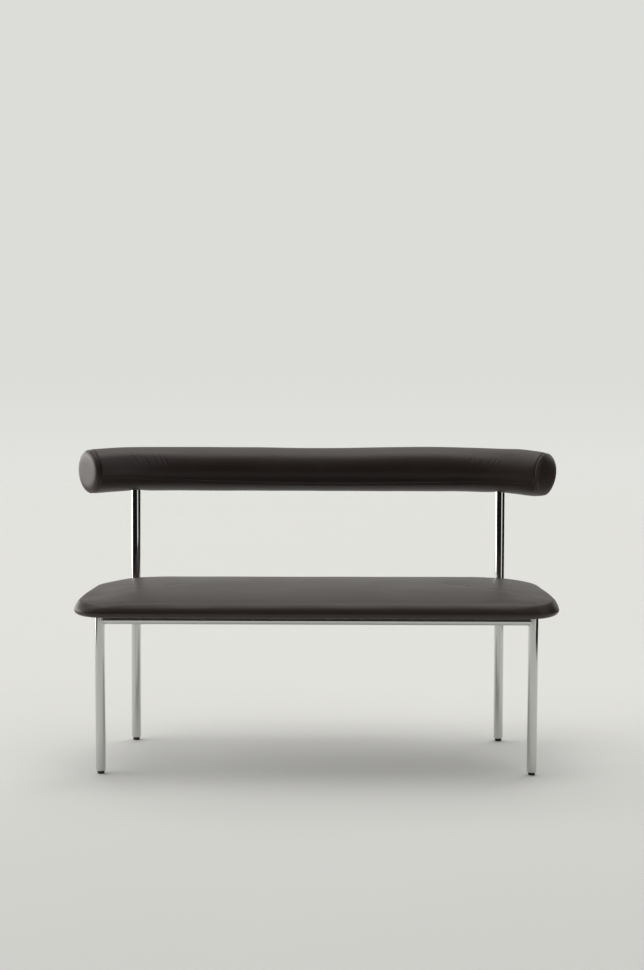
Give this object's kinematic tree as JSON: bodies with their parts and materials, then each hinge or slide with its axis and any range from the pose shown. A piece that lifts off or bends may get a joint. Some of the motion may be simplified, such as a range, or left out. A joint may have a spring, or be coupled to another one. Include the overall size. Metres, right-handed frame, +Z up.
{
  "type": "two-seat sofa",
  "caption": "Slim sofa with a crowned leather seat pad on a chromed tube frame, and a round leather bolster across its uprights as a back rest, bent forward at its ends.",
  "frame": {"origin": "on the floor, under the middle of the sofa's box", "axes": "+Z up, +X to the right as seen from the front, +Y from the front of the seat to the bolster"},
  "size_m": [1.2832, 0.5784, 0.7905],
  "materials": {
    "chrome": "bright chromed steel tube",
    "black_leather": "smooth black leather with a soft sheen",
    "black_plastic": "moulded black plastic",
    "zinc_steel": "zinc-plated steel",
    "plywood": "raw birch plywood",
    "foam": "open-cell upholstery foam",
    "dust_cloth": "black non-woven cloth"
  },
  "bodies": {
    "root": {"front_leg_left": "chrome", "front_leg_right": "chrome", "rear_leg_left": "chrome", "rear_leg_right": "chrome", "front_rail": "chrome", "rear_rail": "chrome", "side_rail_left": "chrome", "side_rail_right": "chrome", "leg_plug_front_left": "zinc_steel", "leg_plug_front_right": "zinc_steel", "leg_plug_rear_left": "zinc_steel", "leg_plug_rear_right": "zinc_steel", "glide_front_left": "black_plastic", "glide_front_right": "black_plastic", "glide_rear_left": "black_plastic", "glide_rear_right": "black_plastic", "seat_cover": "black_leather", "seat_foam": "foam", "seat_board": "plywood", "seat_dust_cover": "dust_cloth", "seat_tab_front_left": "chrome", "seat_tab_front_right": "chrome", "seat_tab_rear_left": "chrome", "seat_tab_rear_right": "chrome", "seat_tab_side_left": "chrome", "seat_tab_side_right": "chrome", "seat_screw_front_left": "zinc_steel", "seat_screw_front_right": "zinc_steel", "seat_screw_rear_left": "zinc_steel", "seat_screw_rear_right": "zinc_steel", "seat_screw_side_left": "zinc_steel", "seat_screw_side_right": "zinc_steel", "seat_tee_nut_front_left": "zinc_steel", "seat_tee_nut_front_right": "zinc_steel", "seat_tee_nut_rear_left": "zinc_steel", "seat_tee_nut_rear_right": "zinc_steel", "seat_tee_nut_side_left": "zinc_steel", "seat_tee_nut_side_right": "zinc_steel", "bolster_core": "chrome", "bolster_foam": "foam", "bolster_cover": "black_leather", "bolster_end_board_left": "plywood", "bolster_end_board_right": "plywood", "bolster_end_cap_left": "black_leather", "bolster_end_cap_right": "black_leather"}
  },
  "joints": []
}
